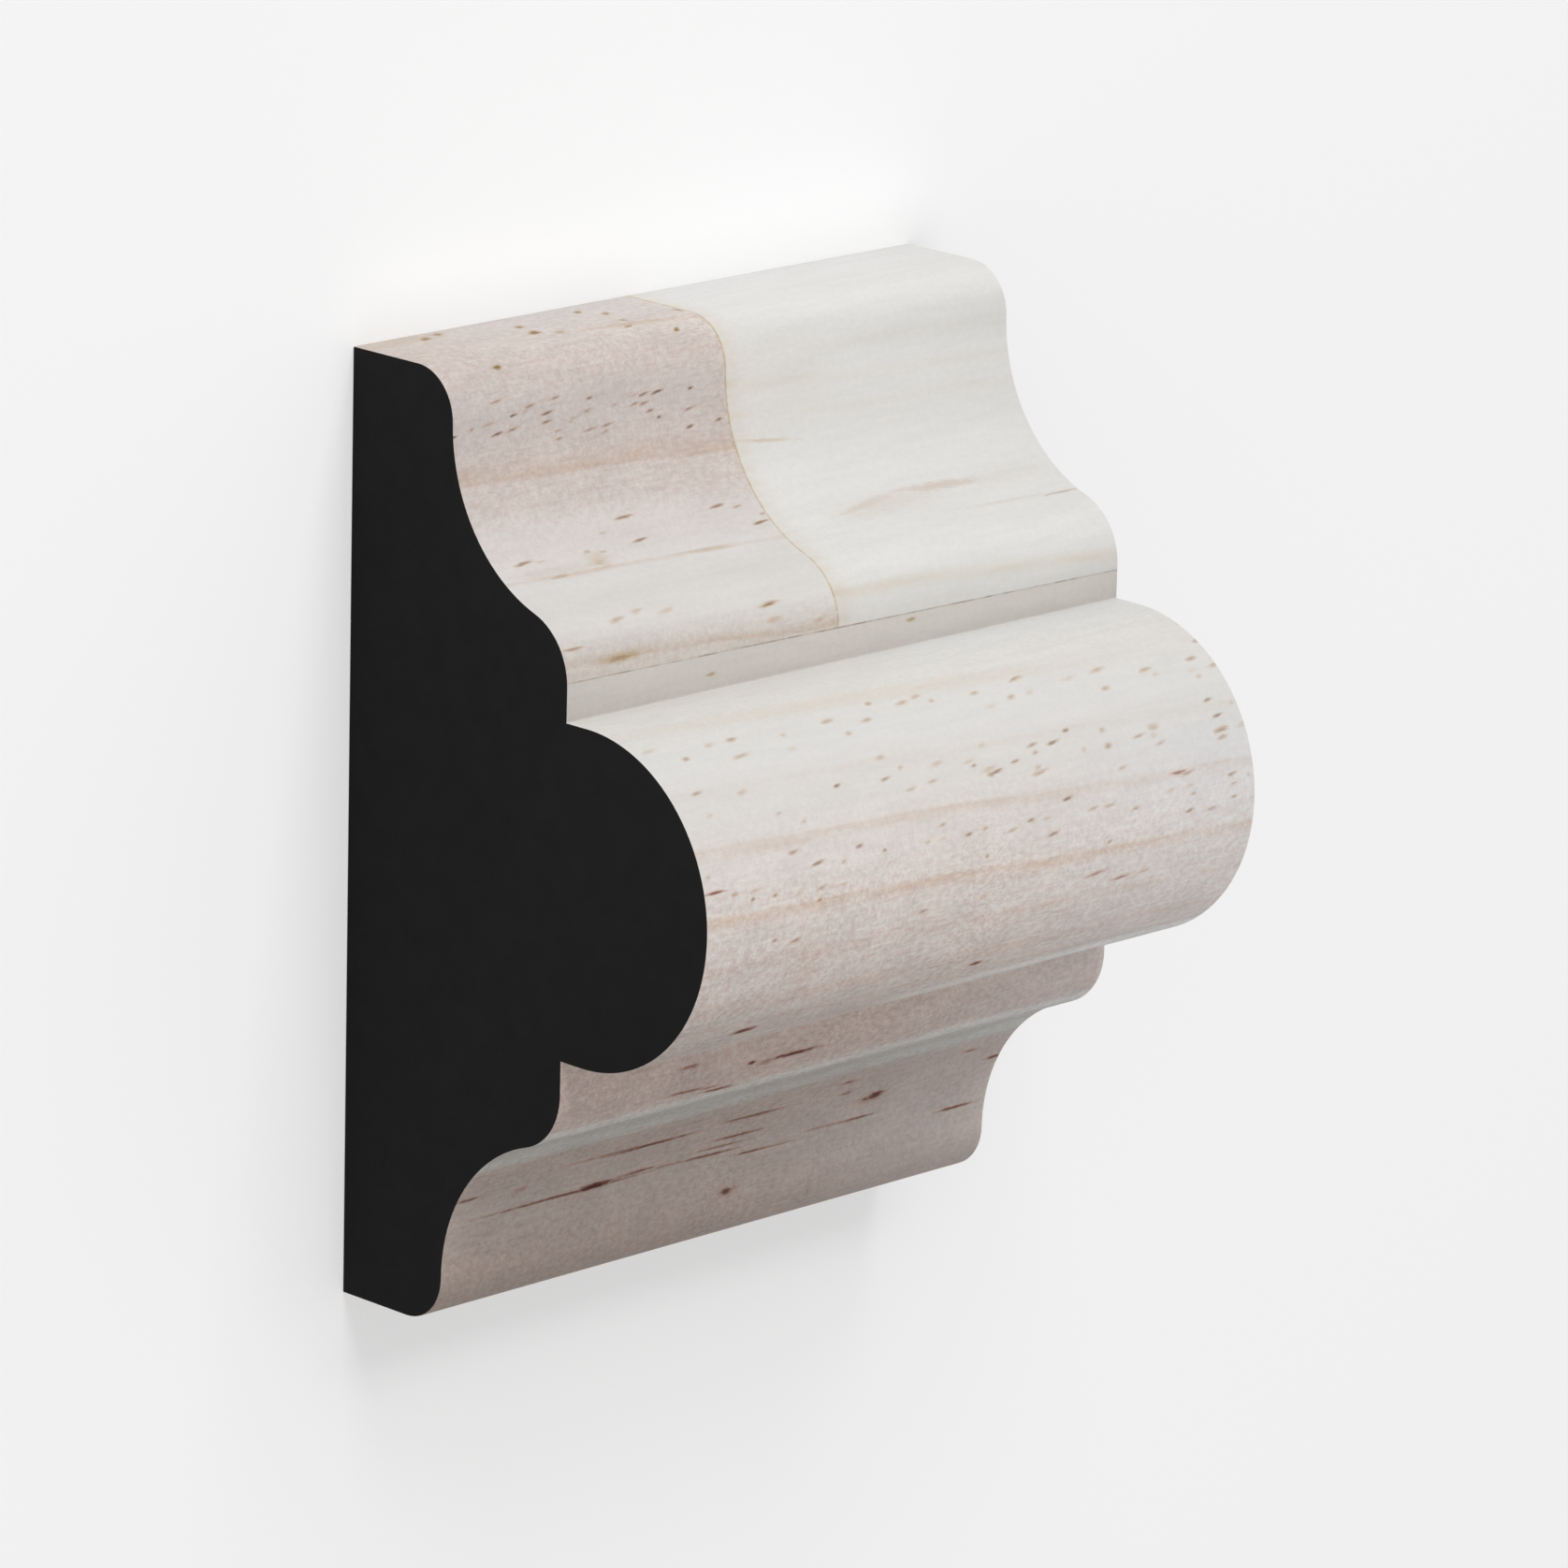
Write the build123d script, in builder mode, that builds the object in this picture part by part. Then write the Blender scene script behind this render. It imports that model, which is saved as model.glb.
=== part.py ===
"""A short length of symmetrical inlay moulding, run in one piece from a pine blank.

The section carries a half-round torus at mid-width. On each side of it a square
shoulder drops to a flat fillet, and an ogee (a bead that runs into a cove) falls
from the fillet to a thin rounded edge. The back is flat.

Frame: the moulding lies on its back. X runs along its length, Y across its width
and Z up out of the moulded face, with the origin at the centre of the back.
Millimetres.
"""

from build123d import *
from math import atan2, degrees, radians, sin
import os

# Overall sizes of the piece
length = 45.0
width = 57.0
thickness = 30.0

# Sizes of the section, from the middle of the face out to the edge
torus_radius = 10.0
shoulder_height = 1.7
fillet_width = 2.0
bead_radius = 4.0
edge_thickness = 8.5
edge_radius = 3.0

# The fillet lies one shoulder below the centre of the torus
torus_centre_height = thickness - torus_radius
fillet_height = torus_centre_height - shoulder_height

# The ogee starts and ends level, so its run and its rise set how far each arc turns
# and what is left of the two radii for the cove
half_width = width / 2
ogee_run = half_width - edge_radius - fillet_width - torus_radius
ogee_rise = fillet_height - edge_thickness
ogee_turn = 2 * degrees(atan2(ogee_rise, ogee_run))
cove_radius = ogee_run / sin(radians(ogee_turn)) - bead_radius

# The moulding: one half of the section, mirrored about mid-width and run both ways
# from mid-length
with BuildPart() as inlay_moulding:
    with BuildSketch(Plane.YZ) as section:
        with BuildLine() as outline:
            back = Line((0, 0), (half_width, 0))
            edge = Line(back @ 1, (half_width, edge_thickness - edge_radius))
            round_over = JernArc(edge @ 1, edge % 1, edge_radius, 90)
            cove = JernArc(round_over @ 1, round_over % 1, cove_radius, -ogee_turn)
            bead = JernArc(cove @ 1, cove % 1, bead_radius, ogee_turn)
            fillet_flat = Line(bead @ 1, (torus_radius, fillet_height))
            shoulder = Line(fillet_flat @ 1, (torus_radius, torus_centre_height))
            torus = JernArc(shoulder @ 1, shoulder % 1, torus_radius, 90)
            mirror(about=Plane.YZ)
        make_face()
    extrude(amount=length / 2, both=True)

inlay_moulding.part.label = "inlay_moulding"

os.makedirs("parts", exist_ok=True)
export_step(inlay_moulding.part, "parts/inlay_moulding.step")

print(f"cove radius {cove_radius:.2f} mm, each arc of the ogee turns {ogee_turn:.1f} degrees")
print(f"volume {inlay_moulding.part.volume:.0f} cubic mm")
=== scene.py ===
import math

import bpy
from mathutils import Matrix, Vector


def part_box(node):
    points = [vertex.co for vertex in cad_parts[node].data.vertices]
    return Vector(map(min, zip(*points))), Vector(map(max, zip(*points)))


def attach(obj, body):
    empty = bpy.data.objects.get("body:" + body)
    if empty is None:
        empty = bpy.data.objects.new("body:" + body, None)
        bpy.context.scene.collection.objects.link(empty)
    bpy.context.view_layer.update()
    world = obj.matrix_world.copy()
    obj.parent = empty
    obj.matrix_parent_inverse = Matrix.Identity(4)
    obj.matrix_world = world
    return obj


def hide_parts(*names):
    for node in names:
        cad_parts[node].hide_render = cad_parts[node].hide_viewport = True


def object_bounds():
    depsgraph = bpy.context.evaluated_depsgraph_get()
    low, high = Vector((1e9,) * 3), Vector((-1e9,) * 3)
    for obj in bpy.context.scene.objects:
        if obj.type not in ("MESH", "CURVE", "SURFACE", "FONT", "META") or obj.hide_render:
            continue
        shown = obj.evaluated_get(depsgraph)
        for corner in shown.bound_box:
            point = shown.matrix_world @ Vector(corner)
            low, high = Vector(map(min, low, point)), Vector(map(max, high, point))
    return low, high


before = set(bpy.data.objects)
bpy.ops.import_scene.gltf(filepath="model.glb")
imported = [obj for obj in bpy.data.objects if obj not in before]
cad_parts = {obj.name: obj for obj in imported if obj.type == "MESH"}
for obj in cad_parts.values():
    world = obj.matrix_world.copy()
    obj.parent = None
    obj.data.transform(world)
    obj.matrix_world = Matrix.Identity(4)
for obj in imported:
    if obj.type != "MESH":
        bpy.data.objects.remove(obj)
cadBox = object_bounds()
scene = bpy.context.scene
scene.view_settings.view_transform = "Standard"
mm = 0.001
tiny = 0.000001  # metres, within which two places are one
noiseMiddle = 0.5  # a noise node's values keep near this


# camera, at the photograph's angle: it looks down on the moulded face, the near end to the left
cameraSet = dict(
    place=(-0.36484, 0.14460, 0.38012),
    aim=(-0.00184, 0.00207, 0.01500),
    roll=-1.39,  # degrees
    lens=210.2, sensor=36.0,
    clip=(0.01, 30.0),
)


def setCamera(look):
    place, aim = Vector(look["place"]), Vector(look["aim"])
    forward = (aim - place).normalized()
    right = forward.cross(Vector((0, 1, 0))).normalized()  # the moulding's width stands up in the picture
    right = Matrix.Rotation(math.radians(look["roll"]), 3, forward) @ right
    up = right.cross(forward)
    bpy.ops.object.camera_add(location=place)
    camera = bpy.context.object
    camera.name = "photoCamera"
    camera.rotation_euler = Matrix((right, up, -forward)).transposed().to_euler()
    camera.data.sensor_fit = "HORIZONTAL"
    camera.data.sensor_width = look["sensor"]
    camera.data.lens = look["lens"]
    camera.data.clip_start, camera.data.clip_end = look["clip"]
    scene.camera = camera
    print("camera set")


# node helpers: a value that is a socket is linked, anything else is typed in
def addNode(tree, kind, inputs=None, **settings):
    made = tree.nodes.new("ShaderNode" + kind)
    for key, value in settings.items():
        setattr(made, key, value)
    for key, value in (inputs or {}).items():
        if isinstance(value, bpy.types.NodeSocket):
            tree.links.new(value, made.inputs[key])
        else:
            made.inputs[key].default_value = value
    return made


def calc(tree, operation, *values):
    return addNode(tree, "Math", dict(enumerate(values)), operation=operation).outputs[0]


def calcVector(tree, operation, *values):
    return addNode(tree, "VectorMath", dict(enumerate(values)), operation=operation).outputs["Vector"]


def splitVector(tree, vector):
    return addNode(tree, "SeparateXYZ", {0: vector}).outputs


def joinVector(tree, *parts):
    return addNode(tree, "CombineXYZ", dict(enumerate(parts))).outputs[0]


def softStep(tree, value, start, end, low=0.0, high=1.0):  # an eased ramp
    return addNode(tree, "MapRange", {0: value, 1: start, 2: end, 3: low, 4: high},
                   interpolation_type="SMOOTHSTEP", clamp=False).outputs[0]


def between(tree, value, places):  # rises over the first two places and falls over the last two
    rising = softStep(tree, value, places[0], places[1])
    falling = softStep(tree, value, places[2], places[3], 1.0, 0.0)
    return calc(tree, "MULTIPLY", rising, falling)


def noiseAt(tree, place, scale, detail, rough):  # place is in millimetres, scale is (along, across)
    moved = calcVector(tree, "MULTIPLY", place, (*scale, 1))
    return addNode(tree, "TexNoise", {"Vector": moved, "Scale": 1.0, "Detail": detail, "Roughness": rough},
                   noise_dimensions="2D").outputs[0]


def swing(tree, noise, low, high, reach=0.3):  # a noise eased from low to high
    return softStep(tree, noise, noiseMiddle - reach, noiseMiddle + reach, low, high)


def blendColour(tree, factor, under, over, mode="MIX"):  # the Mix node's colour sockets go by number
    return addNode(tree, "Mix", {0: factor, 6: under, 7: over}, data_type="RGBA", blend_type=mode).outputs[2]


def toneRamp(tree, value, stops, smooth):  # stops are (place from 0 to 1, colour or grey)
    ramp = addNode(tree, "ValToRGB", {0: value})
    ramp.color_ramp.interpolation = smooth
    marks = ramp.color_ramp.elements
    while len(marks) < len(stops):
        marks.new(0.5)
    places, colours = zip(*stops)
    for mark, place in zip(marks, places):
        mark.position = place
    for mark, colour in zip(marks, colours):
        mark.color = (*colour, 1) if hasattr(colour, "__len__") else (colour, colour, colour, 1)
    return ramp.outputs[0]


def stainAndShade(tree, mask, colour, leaves):  # darkens like a stain, and paints the upper fillet's shade; leaves is what it lets through: at full strength, or in even steps
    steps = leaves if isinstance(leaves, list) else [[channel ** 0.5 for channel in leaves], leaves]
    stops = [(0, 1.0)]
    for count, step in enumerate(steps, 1):
        stops.append((count / len(steps), step))
    left = toneRamp(tree, mask, stops, "LINEAR")
    return blendColour(tree, 1.0, colour, left, "MULTIPLY")


def startMaterial(name):
    material = bpy.data.materials.new(name)
    material.use_nodes = True
    tree = material.node_tree
    tree.nodes.clear()
    out = addNode(tree, "OutputMaterial")
    return material, tree, out


def finishMaterial(tree, out, look, colour, rough, height):
    bump = addNode(tree, "Bump", {"Strength": look["bumpStrength"], "Distance": look["bumpDepth"] * mm,
                                  "Height": height}).outputs[0]
    shader = addNode(tree, "BsdfPrincipled", {"Base Color": colour, "Roughness": rough, "Normal": bump,
                                              "Specular IOR Level": look["shine"]})
    tree.links.new(shader.outputs[0], out.inputs["Surface"])


def startGroup(name, inputs):
    group = bpy.data.node_groups.new(name, "ShaderNodeTree")
    for label in inputs:
        group.interface.new_socket(name=label, in_out="INPUT", socket_type="NodeSocketFloat")
    group.interface.new_socket(name="Mask", in_out="OUTPUT", socket_type="NodeSocketFloat")
    given, made = group.nodes.new("NodeGroupInput"), group.nodes.new("NodeGroupOutput")
    return group, given.outputs, made.inputs


# floor, world and lamps, in metres and watts
studioSet = dict(
    floorSize=8.0, floorDrop=0.00002,  # just under the back, which lies at 0
    floorTone=(0.86, 0.86, 0.86),
    floorSeen=(0.62, 0.62, 0.62), floorLift=0.375,  # only what the camera sees of the floor
    worldStrength=0.28,
    worldTilt=0.14,  # the room is lighter on the key lamp's side
    worldSeen=0.92,
    keyPlace=(-0.05, 1.06, 0.88), keySize=0.80, keyPower=10.6,
    fillPlace=(-0.08, -0.20, 0.82), fillSize=0.45, fillPower=1.85,
    lampAim=(0.0, 0.0, 0.012),
)


def seenDirectly(tree):  # camera, mirror and glass rays
    path = addNode(tree, "LightPath").outputs
    seen = calc(tree, "MAXIMUM", path["Is Camera Ray"], path["Is Glossy Ray"])
    return calc(tree, "MAXIMUM", seen, path["Is Transmission Ray"])


def makeFloor(look):
    bpy.ops.object.select_all(action="DESELECT")
    bpy.ops.mesh.primitive_plane_add(size=look["floorSize"], location=(0, 0, -look["floorDrop"]))
    floor = bpy.context.object
    floor.name = "studioFloor"
    material, tree, out = startMaterial("studioFloor")
    seen = seenDirectly(tree)
    tone = blendColour(tree, seen, (*look["floorTone"], 1), (*look["floorSeen"], 1))
    base = addNode(tree, "BsdfDiffuse", {"Color": tone}).outputs[0]
    lift = calc(tree, "MULTIPLY", seen, look["floorLift"])
    glow = addNode(tree, "Emission", {"Strength": lift}).outputs[0]
    tree.links.new(addNode(tree, "AddShader", {0: base, 1: glow}).outputs[0], out.inputs["Surface"])
    floor.data.materials.append(material)


def setWorld(look):
    world = bpy.data.worlds.new("softStudio")
    world.use_nodes = True
    scene.world = world
    tree = world.node_tree
    tree.nodes.clear()
    towards = splitVector(tree, addNode(tree, "TexCoord").outputs["Generated"])[1]
    level = calc(tree, "MULTIPLY_ADD", towards, look["worldTilt"], look["worldStrength"])
    strength = softStep(tree, seenDirectly(tree), 0.0, 1.0, level, look["worldSeen"])
    sky = addNode(tree, "Background", {"Color": (1, 1, 1, 1), "Strength": strength}).outputs[0]
    addNode(tree, "OutputWorld", {"Surface": sky})


def addLamp(look, name):
    place = Vector(look[name + "Place"])
    bpy.ops.object.light_add(type="AREA", location=place)
    lamp = bpy.context.object
    lamp.name = name + "Lamp"
    lamp.data.shape = "SQUARE"
    lamp.data.size = look[name + "Size"]
    lamp.data.energy = look[name + "Power"]
    lamp.rotation_euler = (Vector(look["lampAim"]) - place).to_track_quat("-Z", "Y").to_euler()


# the moulding, in millimetres: half its section is drawn from the upper (+Y) back corner to the crown
mouldingSet = dict(
    edgeThickness=8.5,
    edgeRadius=3.0,
    beadRadius=4.0,
    filletWidth=2.0,
    shoulderHeight=1.7,
    torusRadius=10.0,
    edgeSteps=14, coveSteps=24, beadSteps=14, torusSteps=36,
    arris=0.07,  # the sawn ends and the back corners, just off sharp
    glueAt=12.0, glueSlope=-0.0122,  # the long glue line, across the width and along the length
    buttAt=-1.0,  # where the two upper blocks meet end to end
    seamWidth=0.035, seamDepth=0.03,
    smoothAngle=35.0,  # degrees
    mapSpan=125.0,  # the unrolled map is this wide
    mapBeside=50.0,  # how far along it the back and the ends lie,
    mapNear=60.0, mapFar=93.0,  # and how far up it each end does
)
rounding = dict(segments=2, profile=0.5, affect="EDGES")


def drawHalfSection(look, low, high):
    half, top = high.y / mm, high.z / mm
    radius, corner, bead = look["torusRadius"], look["edgeRadius"], look["beadRadius"]
    shelf = top - radius - look["shoulderHeight"]
    run = half - radius - look["filletWidth"] - corner
    rise = shelf - look["edgeThickness"]
    turn = 2 * math.atan2(rise, run)  # bead and cove start and end level
    cove = run / math.sin(turn) - bead

    def goOn(y, z):
        bpy.ops.mesh.extrude_vertices_move(TRANSFORM_OT_translate={"value": (0, y * mm, z * mm)})

    def goRound(y, z, angle, steps):
        bpy.ops.mesh.spin(steps=steps, angle=-angle, center=(low.x, y * mm, z * mm), axis=(1, 0, 0))

    bpy.ops.object.select_all(action="DESELECT")
    bpy.ops.mesh.primitive_plane_add(size=mm, location=(0, 0, 0))
    piece = bpy.context.object
    piece.name = "pineMoulding"
    bpy.ops.object.mode_set(mode="EDIT")
    bpy.ops.mesh.select_all(action="SELECT")
    bpy.ops.mesh.merge(type="CENTER")
    bpy.ops.transform.translate(value=(low.x, half * mm, 0))
    goOn(0, look["edgeThickness"] - corner)
    goRound(half - corner, look["edgeThickness"] - corner, math.pi / 2, look["edgeSteps"])
    goRound(half - corner, look["edgeThickness"] + cove, -turn, look["coveSteps"])
    goRound(radius + look["filletWidth"], shelf - bead, turn, look["beadSteps"])
    goOn(-look["filletWidth"], 0)
    goOn(0, look["shoulderHeight"])
    goRound(0, top - radius, math.pi / 2, look["torusSteps"])
    bpy.ops.object.mode_set(mode="OBJECT")
    return piece


def walkOutline(mesh):  # the drawn outline's points in order, from the upper back corner
    beside = {point.index: [] for point in mesh.vertices}
    for edge in mesh.edges:
        a, b = edge.vertices
        beside[a].append(b)
        beside[b].append(a)
    here = max((i for i in beside if len(beside[i]) == 1), key=lambda i: mesh.vertices[i].co.y)
    order, before = [here], None
    while True:
        ahead = [i for i in beside[here] if i != before]
        if not ahead:
            return [mesh.vertices[i].co.yz.copy() for i in order]
        before, here = here, ahead[0]
        order.append(here)


def applyModifier(piece, kind, **settings):
    made = piece.modifiers.new(kind.title(), kind)
    for key, value in settings.items():
        setattr(made, key, value)
    bpy.ops.object.modifier_apply(modifier=made.name)


def selectParts(piece, kind, wanted):  # in edit mode, the points, edges or faces that are wanted
    bpy.ops.mesh.select_mode(type=kind)
    bpy.ops.mesh.select_all(action="DESELECT")
    bpy.ops.object.mode_set(mode="OBJECT")
    mesh = piece.data
    for part in {"VERT": mesh.vertices, "EDGE": mesh.edges, "FACE": mesh.polygons}[kind]:
        part.select = bool(wanted(part))
    bpy.ops.object.mode_set(mode="EDIT")


def edgeEnds(piece, edge):
    return [piece.data.vertices[i].co for i in edge.vertices]


def atEnd(p, low, high):
    return min(abs(p.x - low.x), abs(p.x - high.x)) < tiny


def breakArrises(piece, look, low, high):
    def atBackCorner(p):
        return abs(p.z) < tiny and abs(abs(p.y) - high.y) < tiny

    def isSharp(edge):
        a, b = edgeEnds(piece, edge)
        roundAnEnd = atEnd(a, low, high) and atEnd(b, low, high) and abs(a.x - b.x) < tiny
        return roundAnEnd or (atBackCorner(a) and atBackCorner(b))

    selectParts(piece, "EDGE", isSharp)
    bpy.ops.mesh.bevel(offset=look["arris"] * mm, **rounding)


def pressSeams(piece, look, low, high):  # hairlines: cut, widened to a strip and the middle pressed in
    def aboveGlue(p):
        return p.y - look["glueAt"] * mm - look["glueSlope"] * p.x

    def onGlue(p):
        return abs(aboveGlue(p)) < 2 * tiny

    def onButt(p):  # but not where it runs into the glue line
        return abs(p.x - look["buttAt"] * mm) < 2 * tiny and aboveGlue(p) > look["seamWidth"] * mm / 2

    def press(onSeam):
        def isCut(edge):
            a, b = edgeEnds(piece, edge)
            return onSeam(a) and onSeam(b) and not (atEnd(a, low, high) and atEnd(b, low, high))

        selectParts(piece, "EDGE", isCut)
        bpy.ops.mesh.bevel(offset=look["seamWidth"] * mm, **rounding)
        selectParts(piece, "VERT", lambda point: onSeam(point.co) and not atEnd(point.co, low, high))
        bpy.ops.transform.shrink_fatten(value=-look["seamDepth"] * mm)

    bpy.ops.mesh.select_all(action="SELECT")
    bpy.ops.mesh.bisect(plane_co=(0, look["glueAt"] * mm, 0), plane_no=(-look["glueSlope"], 1, 0))
    press(onGlue)
    selectParts(piece, "FACE", lambda face: aboveGlue(face.center) > 0)
    bpy.ops.mesh.bisect(plane_co=(look["buttAt"] * mm, 0, 0), plane_no=(1, 0, 0))
    press(onButt)


def makeMoulding(look):
    low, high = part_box("inlay_moulding")
    piece = drawHalfSection(look, low, high)
    applyModifier(piece, "MIRROR", use_axis=(False, True, False), use_clip=True, merge_threshold=tiny)
    outline = walkOutline(piece.data)
    print("section drawn,", len(outline), "points")

    bpy.ops.object.mode_set(mode="EDIT")
    bpy.ops.mesh.select_all(action="SELECT")
    bpy.ops.mesh.edge_face_add()
    bpy.ops.mesh.extrude_region_move(TRANSFORM_OT_translate={"value": (high.x - low.x, 0, 0)})
    bpy.ops.mesh.select_all(action="SELECT")
    bpy.ops.mesh.normals_make_consistent(inside=False)
    breakArrises(piece, look, low, high)
    pressSeams(piece, look, low, high)
    bpy.ops.object.mode_set(mode="OBJECT")
    print("seams pressed,", len(piece.data.polygons), "faces")
    return piece, outline


def unroll(look, piece, outline):  # the face laid flat on the map, the back and the two ends beside it
    low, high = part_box("inlay_moulding")
    span, beside = look["mapSpan"] * mm, look["mapBeside"] * mm
    squareOn = 0.9  # a face that looks out of an end or the back turns at least this far that way
    steps, known = [0.0], {}
    for a, b in zip(outline, outline[1:]):
        steps.append(steps[-1] + (b - a).length)

    def girthAt(here):  # how far round the face from the upper back corner
        best = (math.inf, 0.0)
        for a, b, start in zip(outline, outline[1:], steps):
            t = min(max((here - a).dot(b - a) / (b - a).length_squared, 0), 1)
            best = min(best, ((a.lerp(b, t) - here).length_squared, start + (b - a).length * t))
        return best[1]

    layer = piece.data.uv_layers.new(name="unrolled")
    for face in piece.data.polygons:
        isEnd = abs(face.normal.x) > squareOn
        isBack = face.normal.z < -squareOn and face.center.z < look["edgeThickness"] * mm / 2
        endUp = (look["mapNear"] if face.normal.x < 0 else look["mapFar"]) * mm
        face.material_index = 1 if isEnd else 0
        for corner in face.loop_indices:
            index = piece.data.loops[corner].vertex_index
            p = piece.data.vertices[index].co
            if isEnd:
                spot = (p.y - low.y + beside, p.z + endUp)
            elif isBack:
                spot = (p.x - low.x + beside, high.y - p.y)
            else:
                known.setdefault(index, girthAt(p.yz))
                spot = (p.x - low.x, known[index])
            layer.data[corner].uv = (spot[0] / span, spot[1] / span)
    print("face unrolled,", round(steps[-1] / mm, 1), "mm round")


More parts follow.
